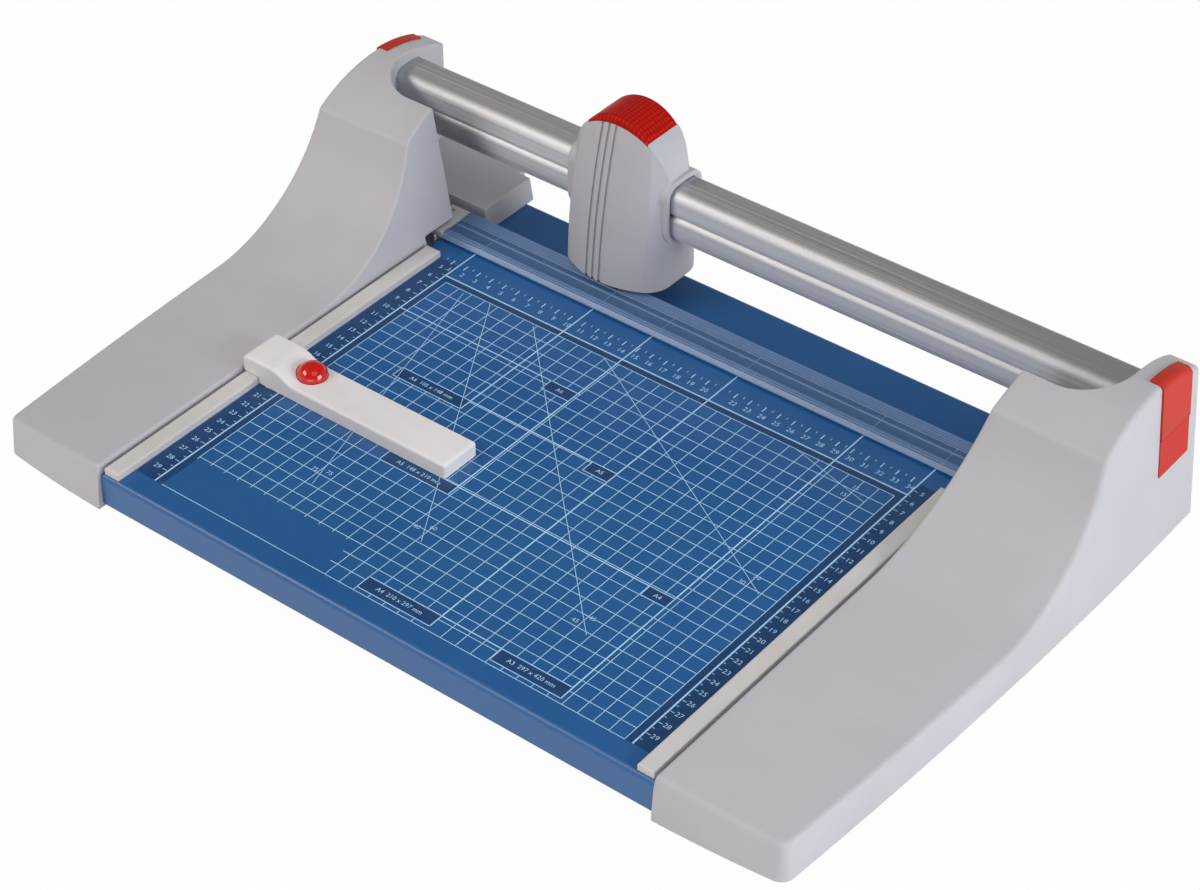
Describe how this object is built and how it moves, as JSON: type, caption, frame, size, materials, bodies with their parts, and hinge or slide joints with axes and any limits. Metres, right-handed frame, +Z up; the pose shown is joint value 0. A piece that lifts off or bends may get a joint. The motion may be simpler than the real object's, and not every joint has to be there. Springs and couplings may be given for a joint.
{
  "type": "rotary_paper_trimmer",
  "caption": "Desktop rotary paper trimmer: blue printed table between grey moulded housings, cutting head on an aluminium rail, clear clamp strip, red grip and sliding backstop.",
  "frame": {"origin": "on the surface under the feet, below the middle of the bounding box", "axes": "+X along the guide rail to the right, +Y from the operator to the back, +Z up"},
  "size_m": [0.566, 0.3724, 0.139],
  "materials": {
    "blue_paint": "satin powder coat with a white printed grid",
    "blade_steel": "ground",
    "screw_steel": "zinc plated",
    "black_paint": "matt black",
    "grey_abs": "fine moulded texture",
    "black_plastic": "matt",
    "black_rubber": "matt",
    "pale_abs": "smooth",
    "anodised_aluminium": "satin anodised, brushed lengthwise",
    "red_plastic": "smooth",
    "red_grip": "fine moulded ribs",
    "clear_acrylic": "clear extrusion with ribs"
  },
  "bodies": {
    "base": {"table_sheet": "blue_paint", "counter_blade": "blade_steel", "counter_blade_screws": "screw_steel", "front_cross_tube": "black_paint", "rear_cross_tube": "black_paint", "right_housing": "grey_abs", "left_housing": "grey_abs", "right_base_plate": "black_plastic", "left_base_plate": "black_plastic", "base_plate_screws": "screw_steel", "cross_tube_screws": "screw_steel", "rubber_feet": "black_rubber", "right_scale_rail": "pale_abs", "left_scale_rail": "pale_abs", "guide_rail": "anodised_aluminium", "right_rail_anchor": "screw_steel", "left_rail_anchor": "screw_steel", "rail_anchor_bolts": "screw_steel", "right_end_clip": "red_plastic", "left_end_clip": "red_plastic", "clamp_posts": "screw_steel", "clamp_springs": "screw_steel"},
    "clamp": {"clamp_strip": "clear_acrylic", "right_strip_carrier": "grey_abs", "left_strip_carrier": "grey_abs"},
    "head": {"head_housing": "grey_abs", "grip_pad": "red_grip", "right_slide_bush": "grey_abs", "left_slide_bush": "grey_abs", "head_base_plate": "black_plastic", "presser_shoe": "black_plastic", "blade_bracket": "black_plastic", "blade_axle": "screw_steel", "blade_disc_spring": "screw_steel"},
    "blade": {"rotary_blade": "blade_steel", "blade_hub": "black_plastic", "blade_lock_ring": "screw_steel"},
    "backstop": {"backstop_bar": "pale_abs", "backstop_foot": "screw_steel", "release_button_spring": "screw_steel"},
    "button": {"release_button": "red_plastic"}
  },
  "joints": [
    {"name": "head_slide", "type": "slide", "parent": "base", "child": "head", "axis": [1, 0, 0], "range_m": [-0.1235, 0.2865]},
    {"name": "blade_spin", "type": "hinge", "parent": "head", "child": "blade", "pos_m": [-0.0815, 0.13278, 0.0455], "axis": [0, 1, 0], "continuous": true},
    {"name": "clamp_press", "type": "slide", "parent": "base", "child": "clamp", "axis": [0, 0, -1], "range_m": [0, 0.0013], "stiffness_N_per_m": 400, "springref_m": -0.004, "deforming": ["clamp_springs"]},
    {"name": "backstop_slide", "type": "slide", "parent": "base", "child": "backstop", "axis": [0, 1, 0], "range_m": [-0.108, 0.125]},
    {"name": "button_press", "type": "slide", "parent": "backstop", "child": "button", "axis": [0, 0, -1], "range_m": [0, 0.002], "stiffness_N_per_m": 300, "springref_m": -0.002, "deforming": ["release_button_spring"]}
  ],
  "couplings": [
    {"joint": "blade_spin", "follows": "head_slide", "rad_per_m": 44.444}
  ]
}
